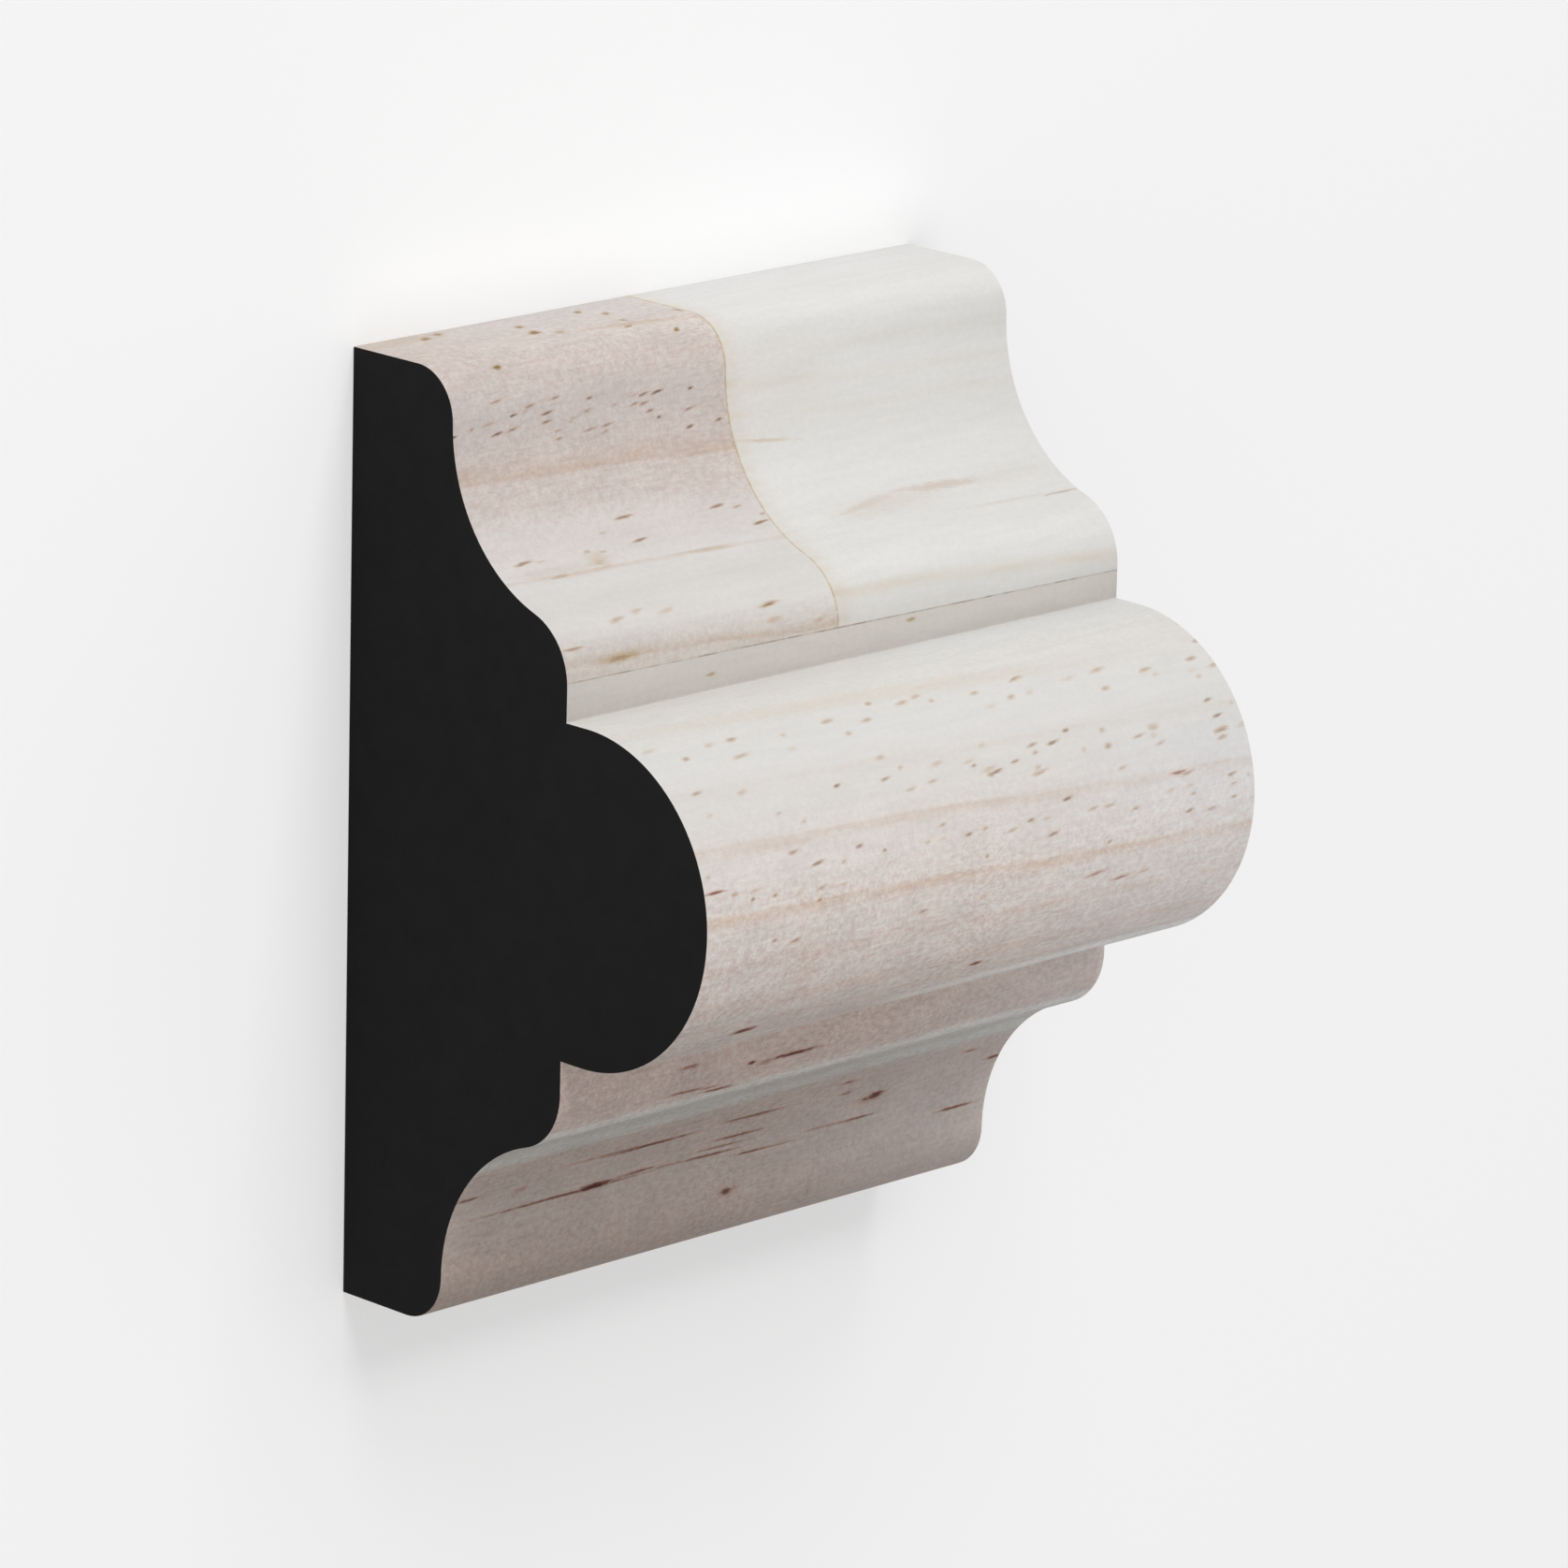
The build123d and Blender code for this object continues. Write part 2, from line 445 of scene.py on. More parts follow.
# raw pine in three glued blocks: pink and pale ones above the glue line, and the stave below it;
# places are millimetres along from the middle, and round the face from the upper back corner
pineSet = dict(
    slope=0.048,  # the grain runs out this much along the piece
    # noises are ((scale along, across), detail, roughness), with what they move beside them
    wanderNoise=((0.06, 0.22), 2.0, 0.5), wander=0.8,
    patchNoise=((0.16, 1.3), 3, 0.5), patches=(0.45, 1.25),
    raggedNoise=((1.6, 7), 2, 0.5), ragged=0.9,
    fibreNoise=((0.35, 8), 3, 0.6), fibreDepth=0.04,
    speckleNoise=((4, 5), 2, 0.7), speckleDepth=0.062,
    mottleNoise=((1.9, 2.5), 3, 0.6), mottleDepth=0.068,
    mottleRed=0.018, mottleBlue=1.5,  # its lighter spots are less red, and bluer by this much more
    cloudNoise=((0.3, 0.55), 2, 0.5), cloudDepth=0.035,
    streakNoise=((0.14, 1.5), 3, 0.55), streakDepth=0.018,
    redness=(0.03, 0.16), lively=(0.19, 1.42),  # the redder the wood, the livelier its fine grain
    # the stave pales to both ends from its darkest place, on its lower part, and the torus to the far end
    palingFrom=-9.0, paling=0.00019, darkest=-0.045, palingRise=(58.0, 76.0),
    torusPaling=0.004, onTorus=(43.0, 52.0, 60.0, 72.0),
    # towards the far end the stave is less red, from near the crown down and where the torus starts
    bleach=(0.02, 0.06, 0.10),
    bleachLow=(39.0, 46.0), bleachLowFrom=(0.0, 20.0),
    bleachTop=(30.0, 30.4, 31.0, 36.0), bleachTopFrom=(-4.0, 8.0), bleachTopStrength=0.6,
    bumpStrength=0.35, bumpDepth=0.03, bumpFibre=0.6, bumpSpeckle=0.35,
    rough=(0.74, 0.86), shine=0.3,
    # tones round the face; the pink and pale tones darken at 28 into the fillet's crease as painted shade
    pinkTones=[(0, (0.705, 0.65, 0.625)), (6.2, (0.68, 0.61, 0.57)), (8.6, (0.60, 0.525, 0.485)),
               (11, (0.59, 0.525, 0.495)), (13.4, (0.575, 0.505, 0.47)), (16.5, (0.60, 0.53, 0.495)),
               (18.5, (0.645, 0.60, 0.575)), (22, (0.695, 0.67, 0.65)), (25.5, (0.68, 0.655, 0.63)),
               (28, (0.575, 0.525, 0.48))],
    paleTones=[(0, (0.81, 0.80, 0.785)), (6, (0.785, 0.775, 0.755)), (8.2, (0.71, 0.695, 0.67)),
               (10, (0.745, 0.73, 0.705)), (14, (0.695, 0.68, 0.655)), (17, (0.72, 0.71, 0.69)),
               (24, (0.745, 0.735, 0.715)), (28, (0.635, 0.62, 0.595))],
    # the stave's tones hold painted light and shade: lighter on the torus's lower half near 53 (painted
    # light), darker from 70 down the lower cove and foot (painted shade)
    staveTones=[(28, (0.745, 0.725, 0.695)), (34, (0.74, 0.715, 0.68)), (37.8, (0.705, 0.69, 0.67)),
                (41.5, (0.685, 0.66, 0.635)), (44.5, (0.70, 0.65, 0.62)), (48, (0.74, 0.665, 0.62)),
                (53, (0.80, 0.70, 0.65)), (58, (0.66, 0.57, 0.52)), (66, (0.67, 0.56, 0.505)),
                (70, (0.625, 0.51, 0.46)), (77, (0.51, 0.415, 0.37)), (82, (0.505, 0.425, 0.385)),
                (87, (0.42, 0.34, 0.30)), (95, (0.45, 0.37, 0.33))],
    # growth lines: where, how far they fade before and after, how strong
    pinkLines=[(14.75, 1.3, 0.35, 0.40), (21.2, 0.2, 0.35, 0.40), (27.8, 0.5, 0.25, 0.38)],
    paleLines=[(9.3, 0.4, 0.5, 0.08), (11.2, 0.5, 0.7, 0.12), (13.0, 0.4, 0.6, 0.10), (26.1, 0.6, 0.7, 0.36)],
    staveLines=[(40.2, 0.4, 0.8, 0.12), (43.7, 0.3, 0.8, 0.34), (47.7, 0.35, 0.8, 0.42),
                (50.6, 0.5, 0.7, 0.16), (53.5, 0.6, 1.2, 0.20), (55.4, 0.3, 0.5, 0.18)],
    # rows of short flecks: spacing and half size (along, across), lean, a shift of the pattern,
    # and how thick they lie round the face
    pinkFlecks=dict(
        cell=(1.15, 0.66), size=(0.36, 0.09), lean=-0.16, shift=3.7,
        rows=[(0, 0.0), (10.2, 0.0), (10.9, 0.56), (12.4, 0.56), (13.3, 0.05), (14.0, 0.0)]),
    softFlecks=dict(
        cell=(1.9, 0.9), size=(0.44, 0.16), lean=-0.12, shift=5.3,
        rows=[(25.0, 0.0), (25.8, 0.24), (26.8, 0.24), (27.4, 0.0), (33.5, 0.0), (35.6, 0.12), (36.6, 0.56),
              (37.9, 0.56), (38.8, 0.0), (40.0, 0.0), (40.6, 0.25), (41.6, 0.2), (42.6, 0.0)]),
    staveFlecks=dict(
        cell=(1.7, 0.9), size=(0.36, 0.115), lean=-0.14, shift=9.1,
        rows=[(39.8, 0.0), (40.6, 0.27), (41.9, 0.27), (42.8, 0.04), (44.0, 0.04), (44.8, 0.34),
              (46.4, 0.34), (47.2, 0.08), (49.5, 0.06), (52.0, 0.0)]),
    fleckLength=(0.45, 1.55), fleckStrength=(0.35, 1.0),  # least and most
    fleckFade=(1.8, 0.15),  # from nothing to full, in half sizes from the middle
    fineFade=(1.6, 0.2), broadFade=(1.15, 0.2),  # the same for single marks
    # stains, and the upper fillet's painted shade: what each leaves of the red, green and blue under it
    lineStain=(0.82, 0.66, 0.53),
    yellowStain=(0.86, 0.76, 0.60),
    softFleckStain=[(0.975, 0.94, 0.90), (0.91, 0.83, 0.76), (0.80, 0.69, 0.60), (0.66, 0.55, 0.45)],
    tanStain=(0.80, 0.66, 0.46),
    smokyStain=(0.78, 0.65, 0.55),
    pinkFleckStain=[(0.96, 0.91, 0.87), (0.82, 0.73, 0.66), (0.55, 0.45, 0.40), (0.30, 0.22, 0.19)],
    staveFleckStain=[(0.97, 0.93, 0.885), (0.88, 0.80, 0.73), (0.67, 0.57, 0.51), (0.46, 0.37, 0.33)],
    spotStain=[(0.92, 0.87, 0.78), (0.70, 0.60, 0.45), (0.48, 0.36, 0.20), (0.31, 0.20, 0.065)],
    brownStain=[(0.94, 0.87, 0.80), (0.72, 0.60, 0.51), (0.45, 0.33, 0.26), (0.25, 0.15, 0.11)],
    resinStain=[(0.955, 0.88, 0.845), (0.74, 0.60, 0.55), (0.36, 0.19, 0.14), (0.12, 0.03, 0.02)],
    glueStain=(0.55, 0.50, 0.45),
    buttStain=(0.88, 0.78, 0.64),
    # painted shade on the upper fillet
    filletShade=(0.775, 0.755, 0.735),
    # painted reflected light: the paler, greyer strip under the lower bead, with three paler highlight lines,
    # near and far
    nearUnderReflection=[(69.1, (0.62, 0.57, 0.53)), (70.05, (0.69, 0.655, 0.62)), (71.3, (0.50, 0.485, 0.455)),
               (72.9, (0.525, 0.515, 0.485)), (74.9, (0.515, 0.50, 0.47)), (76.2, (0.585, 0.57, 0.53)),
               (77.6, (0.52, 0.47, 0.43))],
    farUnderReflection=[(69.1, (0.62, 0.57, 0.53)), (70.1, (0.71, 0.675, 0.635)), (71.3, (0.505, 0.48, 0.44)),
              (72.9, (0.61, 0.60, 0.555)), (74.8, (0.48, 0.45, 0.41)), (76.1, (0.55, 0.535, 0.49)),
              (77.6, (0.52, 0.47, 0.43))],
    # and the painted reflected light that shows under the torus at the far end
    torusUnderReflection=[(55.9, (0.69, 0.60, 0.55)), (57.3, (0.84, 0.79, 0.75)), (58.9, (0.71, 0.65, 0.61)),
                (60.3, (0.78, 0.74, 0.70)), (61.8, (0.67, 0.585, 0.535))],
    # single marks: along, round, half length, half width, slope, strength
    tanMarks=[(-5.8, 5.6, 5.4, 0.40, 0.155, 0.42), (-20.5, 0.8, 6.0, 1.3, 0.0, 0.28),
              (-22.0, 3.6, 8.0, 3.2, 0.0, 0.10), (1.6, 14.7, 2.9, 0.16, 0.12, 0.5),
              (-3.5, 35.15, 26.0, 0.9, 0.08, 0.16), (-14.0, 51.0, 1.4, 2.6, 0.2, 0.12),
              (2.5, 11.5, 6.0, 3.5, 0.0, 0.07),
              (-15.0, 19.9, 1.1, 0.75, 0.0, 0.36), (-18.3, 26.9, 2.4, 0.45, 0.0, 0.28)],
    smokyMarks=[(6.8, 19.95, 3.5, 0.46, -0.14, 0.44), (12.9, 19.72, 4.4, 0.44, 0.06, 0.56),
                (8.5, 20.2, 6.0, 1.05, -0.05, 0.27), (10.0, 19.5, 2.6, 0.22, -0.05, 0.38),
                (4.9, 20.25, 1.4, 0.12, -0.14, 0.44), (16.5, 22.0, 4.2, 0.16, 0.03, 0.25),
                (21.0, 22.25, 1.9, 0.14, 0.0, 0.8), (18.0, 20.0, 5.0, 0.9, 0.0, 0.12),
                (-18.4, 20.5, 0.9, 0.17, 0.0, 0.75), (-15.1, 20.1, 0.5, 0.25, 0.0, 0.45),
                (-15.4, 19.2, 0.32, 0.13, 0.0, 0.75), (-14.3, 19.4, 0.36, 0.11, 0.0, 0.65),
                (-6.5, 20.85, 2.0, 0.22, 0.05, 0.4), (-18.5, 20.1, 4.0, 0.5, 0.05, 0.25)],
    spotMarks=[(-12.0, 3.9, 0.50, 0.38, -0.3, 0.85), (-18.0, 1.2, 0.45, 0.32, -0.3, 0.65),
               (-16.7, 0.8, 0.34, 0.30, -0.3, 0.6), (-11.7, 2.3, 0.36, 0.30, -0.3, 0.65),
               (-10.7, 4.7, 0.42, 0.30, -0.2, 0.45), (-6.3, 1.5, 0.34, 0.28, -0.3, 0.65),
               (-5.3, 2.8, 0.34, 0.30, -0.3, 0.6), (-5.7, 4.7, 0.30, 0.28, 0.0, 0.45),
               (-6.4, 5.9, 0.40, 0.16, -0.2, 0.6), (-1.3, 4.7, 0.22, 0.45, 0.0, 0.55),
               (-18.0, 7.4, 0.32, 0.20, 0.0, 0.85), (-3.6, 7.1, 0.28, 0.17, -0.3, 0.75),
               (5.0, 28.5, 0.4, 0.15, 0.0, 0.55), (-11.2, 29.1, 0.4, 0.14, 0.0, 0.5),
               (-18.3, 26.95, 1.1, 0.20, 0.0, 0.48)],
    brownMarks=[(-11.4, 17.5, 0.75, 0.11, -0.05, 0.7), (-4.2, 18.0, 0.60, 0.11, -0.1, 0.7),
                (-2.8, 18.3, 0.45, 0.09, -0.15, 0.5), (-11.2, 19.15, 0.55, 0.11, -0.1, 0.7),
                (-1.85, 19.65, 0.65, 0.12, -0.1, 0.75), (-1.3, 19.1, 0.25, 0.10, -0.1, 0.5),
                (-20.3, 19.1, 0.70, 0.13, -0.1, 0.65), (-19.0, 19.2, 0.40, 0.09, 0.0, 0.3),
                (-13.5, 18.2, 0.30, 0.09, -0.1, 0.4), (-21.6, 25.9, 0.80, 0.10, 0.0, 0.6),
                (-6.0, 25.8, 0.70, 0.10, -0.1, 0.6)],
    resinMarks=[(9.3, 49.6, 1.0, 0.13, -0.1, 0.57), (11.6, 50.3, 0.85, 0.15, -0.08, 0.6),
                (1.8, 54.8, 0.55, 0.24, 0.0, 0.85), (-16.3, 55.7, 1.1, 0.30, 0.0, 0.9),
                (-21.7, 45.0, 1.0, 0.10, 0.0, 0.75), (16.2, 44.7, 0.7, 0.13, 0.0, 0.65),
                (-8.4, 65.9, 1.3, 0.10, 0.0, 0.8), (11.0, 65.6, 0.5, 0.10, 0.0, 0.7),
                (-12.2, 67.2, 0.9, 0.13, 0.0, 0.65), (-7.0, 68.03, 0.34, 0.15, 0.0, 0.9),
                (-3.6, 68.17, 2.2, 0.15, 0.0, 0.9), (-5.8, 68.25, 0.7, 0.26, 0.0, 0.55),
                (-11.9, 69.0, 1.7, 0.13, 0.03, 0.7), (-10.0, 69.2, 1.0, 0.11, 0.03, 0.6),
                (-9.1, 69.6, 1.5, 0.17, 0.04, 0.75),
                (-8.8, 78.9, 5.4, 0.15, 0.02, 0.58), (-7.2, 78.97, 3.6, 0.13, 0.0, 0.85),
                (1.2, 78.85, 2.9, 0.14, 0.02, 0.69), (0.4, 80.3, 2.4, 0.13, 0.02, 0.71),
                (-0.8, 80.85, 2.4, 0.11, 0.02, 0.6), (-13.2, 81.3, 6.6, 0.13, 0.0, 0.76),
                (-10.9, 81.25, 1.7, 0.25, -0.03, 1.0), (-7.4, 81.06, 1.9, 0.12, -0.03, 0.68),
                (-1.6, 81.3, 2.8, 0.12, 0.02, 0.72), (-5.0, 81.2, 1.6, 0.10, 0.03, 0.53),
                (2.3, 81.9, 1.6, 0.11, 0.02, 0.7), (4.2, 81.95, 2.2, 0.09, 0.02, 0.5),
                (11.0, 81.6, 1.7, 0.11, 0.0, 0.68), (8.6, 81.55, 2.2, 0.09, 0.0, 0.48),
                (19.8, 82.8, 1.7, 0.13, 0.0, 0.75), (8.7, 78.1, 0.8, 0.18, 0.0, 0.65),
                (9.1, 79.2, 0.6, 0.16, 0.0, 0.58), (12.0, 80.1, 0.75, 0.34, -0.1, 0.9),
                (11.2, 80.2, 0.35, 0.18, 0.0, 0.75), (11.7, 80.3, 1.3, 0.45, -0.1, 0.42),
                (0.55, 84.2, 0.55, 0.24, 0.0, 0.8), (0.55, 84.2, 0.9, 0.36, 0.0, 0.42),
                (19.2, 78.2, 0.7, 0.18, 0.05, 0.6), (22.0, 79.55, 0.8, 0.17, 0.0, 0.8),
                (-21.6, 79.55, 1.1, 0.14, 0.0, 0.7), (-17.3, 79.85, 0.6, 0.24, 0.0, 0.42)],
    # the joints: how far they colour the wood to each side, and how the glue breaks up
    glueReach=(0.01, 0.07), glueNoise=((0.9, 0.2), 3, 0.5), glueBreaks=(0.35, 0.7), glueStrength=(0.3, 0.95),
    buttReach=(0.02, 0.12),
    haloEnds=(-1.0, 0.9), haloStrength=0.30,  # yellow in the pale block, beside the butt joint
    filletEnd=(29.9, 30.1),  # where the painted shade on the upper fillet stops
    # the greyer strips of painted reflected light: where each comes and goes
    beadStrip=(69.2, 70.0, 76.4, 77.6), beadStripStrength=0.9,
    torusStrip=(55.9, 56.9, 60.3, 61.8),
    stripFar=(-7.0, 4.0),  # where the near tones give way to the far ones
    stripNoise=((0.05, 3.2), 3, 0.6), stripWander=0.5,
)
rampSpan = 100  # millimetres round the face from 0 to 1 of a ramp


def girthTones(tree, share, stops, smooth="EASE"):  # stops are (millimetres round the face, colour)
    return toneRamp(tree, share, [(at / rampSpan, colour) for at, colour in stops], smooth)


def findBlocks(tree, look, shape):  # places and masks that the layers of the pine share
    span = shape["mapSpan"]
    flat = addNode(tree, "UVMap", uv_map="unrolled").outputs[0]
    place = calcVector(tree, "MULTIPLY_ADD", flat, (span, span, 1), (cadBox[0][0] / mm, 0, 0))
    along, girth = splitVector(tree, place)[:2]
    onFace = calc(tree, "LESS_THAN", along, shape["mapBeside"] / 2)  # the back lies beside the face
    spot = splitVector(tree, addNode(tree, "TexCoord").outputs["Object"])
    tilt = calc(tree, "MULTIPLY", spot[0], shape["glueSlope"])
    aboveGlue = calc(tree, "SUBTRACT", calc(tree, "SUBTRACT", spot[1], tilt), shape["glueAt"] * mm)
    pastButt = calc(tree, "SUBTRACT", spot[0], shape["buttAt"] * mm)
    upper = calc(tree, "GREATER_THAN", aboveGlue, 0.0)
    pale = calc(tree, "MULTIPLY", upper, calc(tree, "GREATER_THAN", pastButt, 0.0))
    pink = calc(tree, "SUBTRACT", upper, pale)
    stave = calc(tree, "SUBTRACT", 1.0, upper)
    patchy = swing(tree, noiseAt(tree, place, *look["patchNoise"]), *look["patches"], reach=0.25)
    ragged = calc(tree, "SUBTRACT", noiseAt(tree, place, *look["raggedNoise"]), noiseMiddle)
    ragged = calc(tree, "MULTIPLY", ragged, look["ragged"])
    return dict(place=place, along=along, girth=girth, onFace=onFace, aboveGlue=aboveGlue, pastButt=pastButt,
                upper=upper, pale=pale, pink=pink, stave=stave, patchy=patchy, ragged=ragged)


def layTones(tree, look, wood):  # each block's own tones, on grain that wanders a little
    drift = calc(tree, "SUBTRACT", noiseAt(tree, wood["place"], *look["wanderNoise"]), noiseMiddle)
    drift = calc(tree, "MULTIPLY", drift, look["wander"])
    level = calc(tree, "SUBTRACT", wood["girth"], calc(tree, "MULTIPLY", wood["along"], look["slope"]))
    wood["grain"] = calc(tree, "ADD", level, drift)
    share = calc(tree, "DIVIDE", wood["grain"], rampSpan)
    pinkTone = girthTones(tree, share, look["pinkTones"])
    paleTone = girthTones(tree, share, look["paleTones"])
    staveTone = girthTones(tree, share, look["staveTones"])
    colour = blendColour(tree, wood["pink"], staveTone, pinkTone)
    colour = blendColour(tree, wood["pale"], colour, paleTone)
    parts = addNode(tree, "SeparateColor", {0: colour}).outputs
    redness = calc(tree, "SUBTRACT", parts["Red"], parts["Blue"])
    wood["lively"] = softStep(tree, redness, *look["redness"], *look["lively"])
    return colour


def growthLineGroup():
    group, given, made = startGroup("growthLine", ["Grain", "Centre", "Before", "After", "Strength"])
    centre = given["Centre"]
    start = calc(group, "SUBTRACT", centre, given["Before"])
    end = calc(group, "ADD", centre, given["After"])
    both = between(group, given["Grain"], (start, centre, centre, end))
    group.links.new(calc(group, "MULTIPLY", both, given["Strength"]), made["Mask"])
    return group


def lineMask(tree, wood, group, block, lines):  # the strongest, kept as it goes to spare shader memory
    best = 0.0
    for centre, before, after, strength in lines:
        values = dict(Grain=wood["grain"], Centre=centre, Before=before, After=after, Strength=strength)
        line = addNode(tree, "Group", values, node_tree=group).outputs[0]
        best = calc(tree, "MAXIMUM", line, best)
    return calc(tree, "MULTIPLY", best, wood[block])


def drawLines(tree, look, wood, colour):  # growth lines, stronger and weaker along their run
    group = growthLineGroup()
    pink, stave, pale = [lineMask(tree, wood, group, block, look[block + "Lines"])
                         for block in ("pink", "stave", "pale")]
    brown = calc(tree, "MULTIPLY", calc(tree, "ADD", pink, stave), wood["patchy"])
    colour = stainAndShade(tree, brown, colour, look["lineStain"])
    yellow = calc(tree, "MULTIPLY", pale, wood["patchy"])
    return stainAndShade(tree, yellow, colour, look["yellowStain"])


def fleckMask(tree, look, wood, field):  # in each cell one fleck, or none where the rows are thin
    (cellLong, cellWide), (halfLength, halfWidth), shift = field["cell"], field["size"], field["shift"]
    scale, offset = (1 / cellLong, 1 / cellWide, 1), (shift, shift, 0)
    scaled = calcVector(tree, "MULTIPLY_ADD", wood["place"], scale, offset)
    cells = addNode(tree, "TexVoronoi", {"Vector": scaled, "Scale": 1.0, "Randomness": 1.0},
                    voronoi_dimensions="2D").outputs
    centre = calcVector(tree, "SUBTRACT", cells["Position"], offset)
    centre = calcVector(tree, "MULTIPLY", centre, (cellLong, cellWide, 1))
    gap = splitVector(tree, calcVector(tree, "SUBTRACT", wood["place"], centre))
    at = splitVector(tree, centre)
    chance = addNode(tree, "SeparateColor", {0: cells["Color"]}).outputs
    row = calc(tree, "SUBTRACT", at[1], calc(tree, "MULTIPLY", at[0], look["slope"]))
    density = girthTones(tree, calc(tree, "DIVIDE", row, rampSpan), field["rows"], "LINEAR")
    present = calc(tree, "LESS_THAN", chance[0], density)
    least, most = look["fleckLength"]
    length = calc(tree, "MULTIPLY_ADD", chance[1], halfLength * (most - least), halfLength * least)
    across = calc(tree, "SUBTRACT", gap[1], calc(tree, "MULTIPLY", gap[0], field["lean"]))
    across = calc(tree, "DIVIDE", across, halfWidth)
    onward = calc(tree, "DIVIDE", gap[0], length)
    onwardSquare = calc(tree, "MULTIPLY", onward, onward)
    acrossSquare = calc(tree, "MULTIPLY", across, across)
    reach = calc(tree, "SQRT", calc(tree, "ADD", onwardSquare, acrossSquare))
    reach = calc(tree, "ADD", reach, wood["ragged"])
    mask = calc(tree, "MULTIPLY", softStep(tree, reach, *look["fleckFade"]), present)
    least, most = look["fleckStrength"]
    return calc(tree, "MULTIPLY", mask, calc(tree, "MULTIPLY_ADD", chance[2], most - least, least))


def addFlecks(tree, look, wood, colour, name, block):
    mask = calc(tree, "MULTIPLY", fleckMask(tree, look, wood, look[name + "Flecks"]), block)
    return stainAndShade(tree, mask, colour, look[name + "FleckStain"])


def markMask(tree, wood, marks, fade):  # soft ellipses, the strongest at each place
    best = 0.0
    slopes = {lean for atAlong, atGirth, halfLength, halfWidth, lean, strength in marks}
    for slope in sorted(slopes):  # marks of one slope share a leaning grid
        level = calc(tree, "MULTIPLY_ADD", wood["along"], -slope, wood["girth"])
        leant = joinVector(tree, wood["along"], level)
        for atAlong, atGirth, halfLength, halfWidth, lean, strength in marks:
            if lean != slope:
                continue
            offset = (-atAlong / halfLength, (atAlong * slope - atGirth) / halfWidth, 0)
            laid = calcVector(tree, "MULTIPLY_ADD", leant, (1 / halfLength, 1 / halfWidth, 0), offset)
            reach = addNode(tree, "VectorMath", {0: laid}, operation="LENGTH").outputs["Value"]
            mark = softStep(tree, calc(tree, "ADD", reach, wood["ragged"]), *fade, 0.0, strength)
            best = calc(tree, "MAXIMUM", mark, best)
    return best


def addMarks(tree, look, wood, colour, name, fade):
    return stainAndShade(tree, markMask(tree, wood, look[name + "Marks"], fade), colour, look[name + "Stain"])


def shadeFillet(tree, look, wood, colour):  # painted shade: the upper fillet darker, as in its crease
    mask = calc(tree, "MULTIPLY", softStep(tree, wood["girth"], *look["filletEnd"], 1.0, 0.0), wood["stave"])
    return stainAndShade(tree, calc(tree, "MULTIPLY", mask, wood["onFace"]), colour, look["filletShade"])


def paintReflectedStrips(tree, look, wood, colour):  # painted reflected light: the greyer strips under the lower bead and under the torus
    streaks = noiseAt(tree, wood["place"], *look["stripNoise"])
    level = calc(tree, "SUBTRACT", wood["girth"], look["stripWander"] / 2)
    level = calc(tree, "MULTIPLY_ADD", streaks, look["stripWander"], level)
    share = calc(tree, "DIVIDE", level, rampSpan)
    far = calc(tree, "MULTIPLY", softStep(tree, wood["along"], *look["stripFar"]), wood["onFace"])
    nearTone = girthTones(tree, share, look["nearUnderReflection"])
    farTone = girthTones(tree, share, look["farUnderReflection"])
    torusTone = girthTones(tree, share, look["torusUnderReflection"])
    strip = calc(tree, "MULTIPLY", between(tree, level, look["beadStrip"]), look["beadStripStrength"])
    colour = blendColour(tree, strip, colour, blendColour(tree, far, nearTone, farTone))
    strip = calc(tree, "MULTIPLY", between(tree, level, look["torusStrip"]), far)
    return blendColour(tree, strip, colour, torusTone)


def markJoints(tree, look, wood, colour):  # glue line and butt joint
    bits = noiseAt(tree, wood["place"], *look["glueNoise"])
    bits = softStep(tree, bits, *look["glueBreaks"], *look["glueStrength"])
    core, rim = look["glueReach"]
    glue = softStep(tree, calc(tree, "ABSOLUTE", wood["aboveGlue"]), core * mm, rim * mm, 1.0, 0.0)
    core, rim = look["buttReach"]
    butt = softStep(tree, calc(tree, "ABSOLUTE", wood["pastButt"]), core * mm, rim * mm, 1.0, 0.0)
    butt = calc(tree, "MULTIPLY", butt, wood["upper"])
    halo = softStep(tree, wood["along"], *look["haloEnds"], look["haloStrength"], 0.0)
    halo = calc(tree, "MULTIPLY", halo, calc(tree, "MULTIPLY", wood["pale"], wood["patchy"]))
    colour = stainAndShade(tree, halo, colour, look["yellowStain"])
    colour = stainAndShade(tree, calc(tree, "MULTIPLY", butt, wood["patchy"]), colour, look["buttStain"])
    return stainAndShade(tree, calc(tree, "MULTIPLY", glue, bits), colour, look["glueStain"])


def findPaling(tree, look, wood):  # how the shade changes along the piece
    apart = calc(tree, "SUBTRACT", wood["along"], look["palingFrom"])
    paling = calc(tree, "MULTIPLY_ADD", calc(tree, "MULTIPLY", apart, apart), look["paling"], look["darkest"])
    paling = calc(tree, "MULTIPLY", paling, softStep(tree, wood["girth"], *look["palingRise"]))
    torusPaling = calc(tree, "MULTIPLY", wood["along"], look["torusPaling"])
    onTorus = between(tree, wood["girth"], look["onTorus"])
    return calc(tree, "MULTIPLY_ADD", torusPaling, onTorus, paling)


def findBleach(tree, look, wood):  # where the stave is less red
    low = softStep(tree, wood["along"], *look["bleachLowFrom"])
    low = calc(tree, "MULTIPLY", low, softStep(tree, wood["girth"], *look["bleachLow"]))
    top = softStep(tree, wood["along"], *look["bleachTopFrom"], 0.0, look["bleachTopStrength"])
    top = calc(tree, "MULTIPLY", top, between(tree, wood["girth"], look["bleachTop"]))
    return calc(tree, "MULTIPLY", calc(tree, "MULTIPLY_ADD", top, wood["stave"], low), wood["onFace"])


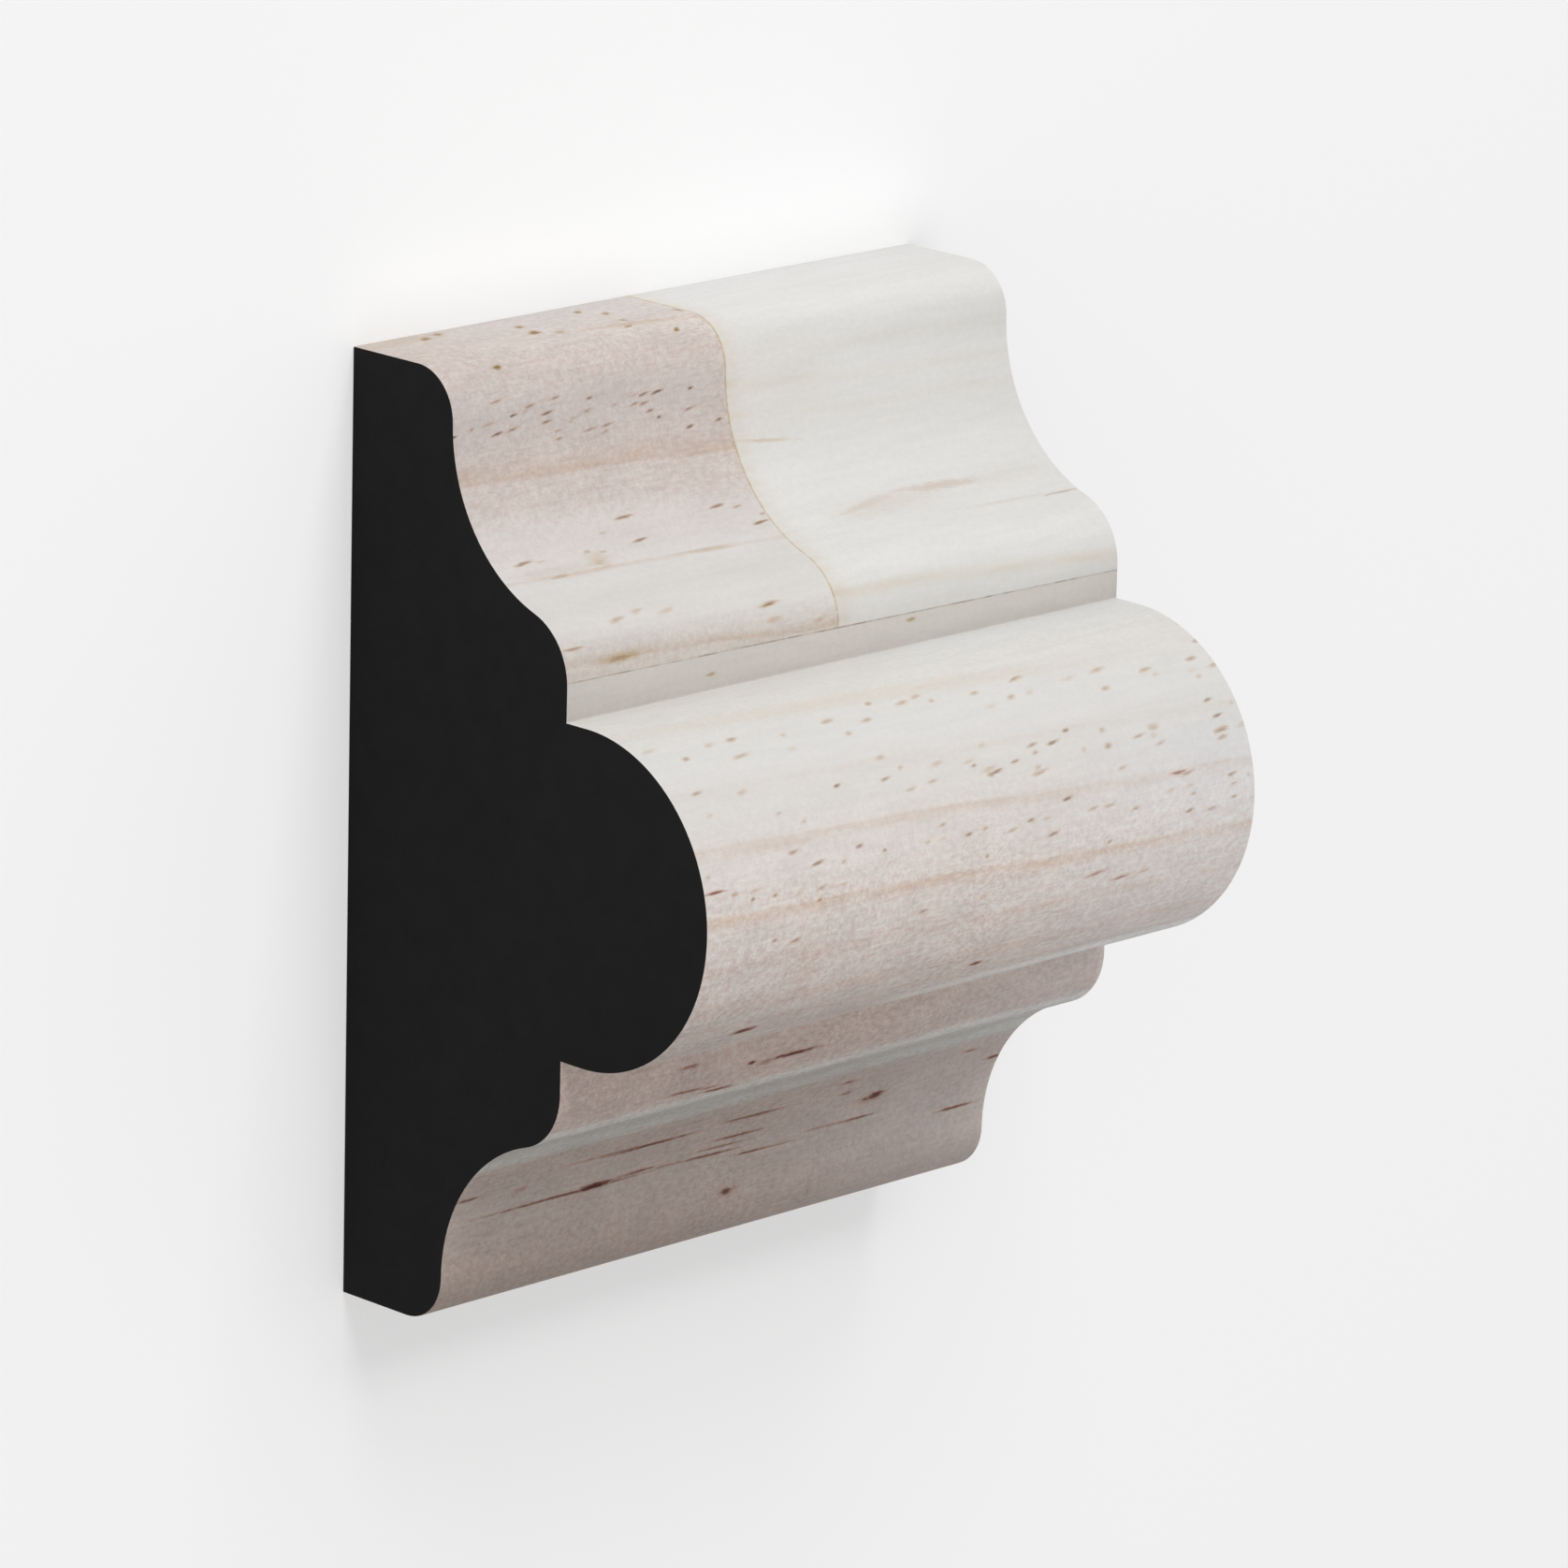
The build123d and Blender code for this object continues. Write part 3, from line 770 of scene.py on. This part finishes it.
def mixLight(tree, look, wood, fibre, speckle):  # what fine grain, paling and bleach multiply the colour by
    streaks = noiseAt(tree, wood["place"], *look["streakNoise"])
    clouds = noiseAt(tree, wood["place"], *look["cloudNoise"])
    mottle = swing(tree, noiseAt(tree, wood["place"], *look["mottleNoise"]), -1.0, 1.0, reach=0.25)

    def depth(noise, name, **spread):
        return swing(tree, noise, -look[name], look[name], **spread)

    shade = calc(tree, "ADD", depth(fibre, "fibreDepth"), depth(speckle, "speckleDepth"))
    shade = calc(tree, "MULTIPLY_ADD", mottle, look["mottleDepth"], shade)
    shade = calc(tree, "ADD", shade, depth(clouds, "cloudDepth", reach=0.25))
    shade = calc(tree, "MULTIPLY_ADD", shade, wood["lively"], depth(streaks, "streakDepth"))
    paling = calc(tree, "MULTIPLY_ADD", findPaling(tree, look, wood), wood["onFace"], 1.0)
    shade = calc(tree, "ADD", shade, paling)
    duller = calc(tree, "MULTIPLY", calc(tree, "MULTIPLY", mottle, wood["lively"]), look["mottleRed"])
    red = calc(tree, "SUBTRACT", shade, duller)
    green = calc(tree, "ADD", shade, duller)
    blue = calc(tree, "MULTIPLY_ADD", duller, look["mottleBlue"], shade)
    pallid = findBleach(tree, look, wood)
    pallid = joinVector(tree, pallid, pallid, pallid)
    return calcVector(tree, "MULTIPLY_ADD", pallid, look["bleach"], joinVector(tree, red, green, blue))


def makePine(look, shape):
    material, tree, out = startMaterial("rawPine")
    wood = findBlocks(tree, look, shape)
    notPale = calc(tree, "SUBTRACT", 1.0, wood["pale"])
    colour = layTones(tree, look, wood)
    colour = drawLines(tree, look, wood, colour)
    colour = addMarks(tree, look, wood, colour, "tan", look["broadFade"])
    colour = addMarks(tree, look, wood, colour, "smoky", look["broadFade"])
    colour = addFlecks(tree, look, wood, colour, "soft", notPale)
    colour = addFlecks(tree, look, wood, colour, "pink", wood["pink"])
    colour = addFlecks(tree, look, wood, colour, "stave", wood["stave"])
    colour = addMarks(tree, look, wood, colour, "spot", look["fineFade"])
    colour = addMarks(tree, look, wood, colour, "brown", look["fineFade"])
    # painted shade on the upper fillet
    colour = shadeFillet(tree, look, wood, colour)
    # painted reflected light on the undersides of the lower bead and the torus
    colour = paintReflectedStrips(tree, look, wood, colour)
    colour = addMarks(tree, look, wood, colour, "resin", look["fineFade"])
    colour = markJoints(tree, look, wood, colour)

    fibre = noiseAt(tree, wood["place"], *look["fibreNoise"])
    speckle = noiseAt(tree, wood["place"], *look["speckleNoise"])
    colour = blendColour(tree, 1.0, colour, mixLight(tree, look, wood, fibre, speckle), "MULTIPLY")
    height = calc(tree, "MULTIPLY", speckle, look["bumpSpeckle"])
    height = calc(tree, "MULTIPLY_ADD", fibre, look["bumpFibre"], height)
    finishMaterial(tree, out, look, colour, swing(tree, fibre, *look["rough"]), height)
    print("pine mixed,", len(tree.nodes), "nodes")
    return material


# the sawn ends, sealed matt black
endSet = dict(
    tone=(0.0195, 0.0195, 0.0198),
    cloudNoise=((0.5, 0.5), 3, 0.5), clouds=(0.95, 1.05),
    poreNoise=((5, 5), 2, 0.5), rough=(0.85, 0.95),
    bumpStrength=0.2, bumpDepth=0.02,
    shine=0.06,
)


def makeSealedEnd(look, shape):
    material, tree, out = startMaterial("sealedEnd")
    span = shape["mapSpan"]
    flat = addNode(tree, "UVMap", uv_map="unrolled").outputs[0]
    place = calcVector(tree, "MULTIPLY", flat, (span, span, 1))
    shade = swing(tree, noiseAt(tree, place, *look["cloudNoise"]), *look["clouds"], reach=0.25)
    colour = blendColour(tree, 1.0, (*look["tone"], 1), joinVector(tree, shade, shade, shade), "MULTIPLY")
    pores = noiseAt(tree, place, *look["poreNoise"])
    finishMaterial(tree, out, look, colour, swing(tree, pores, *look["rough"]), pores)
    print("ends sealed")
    return material


setCamera(cameraSet)
makeFloor(studioSet)
setWorld(studioSet)
addLamp(studioSet, "key")
addLamp(studioSet, "fill")
print("studio set")
moulding, outline = makeMoulding(mouldingSet)
moulding.data.materials.append(makePine(pineSet, mouldingSet))
moulding.data.materials.append(makeSealedEnd(endSet, mouldingSet))
unroll(mouldingSet, moulding, outline)
bpy.ops.object.shade_smooth_by_angle(angle=math.radians(mouldingSet["smoothAngle"]))
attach(moulding, "root")
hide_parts("inlay_moulding")
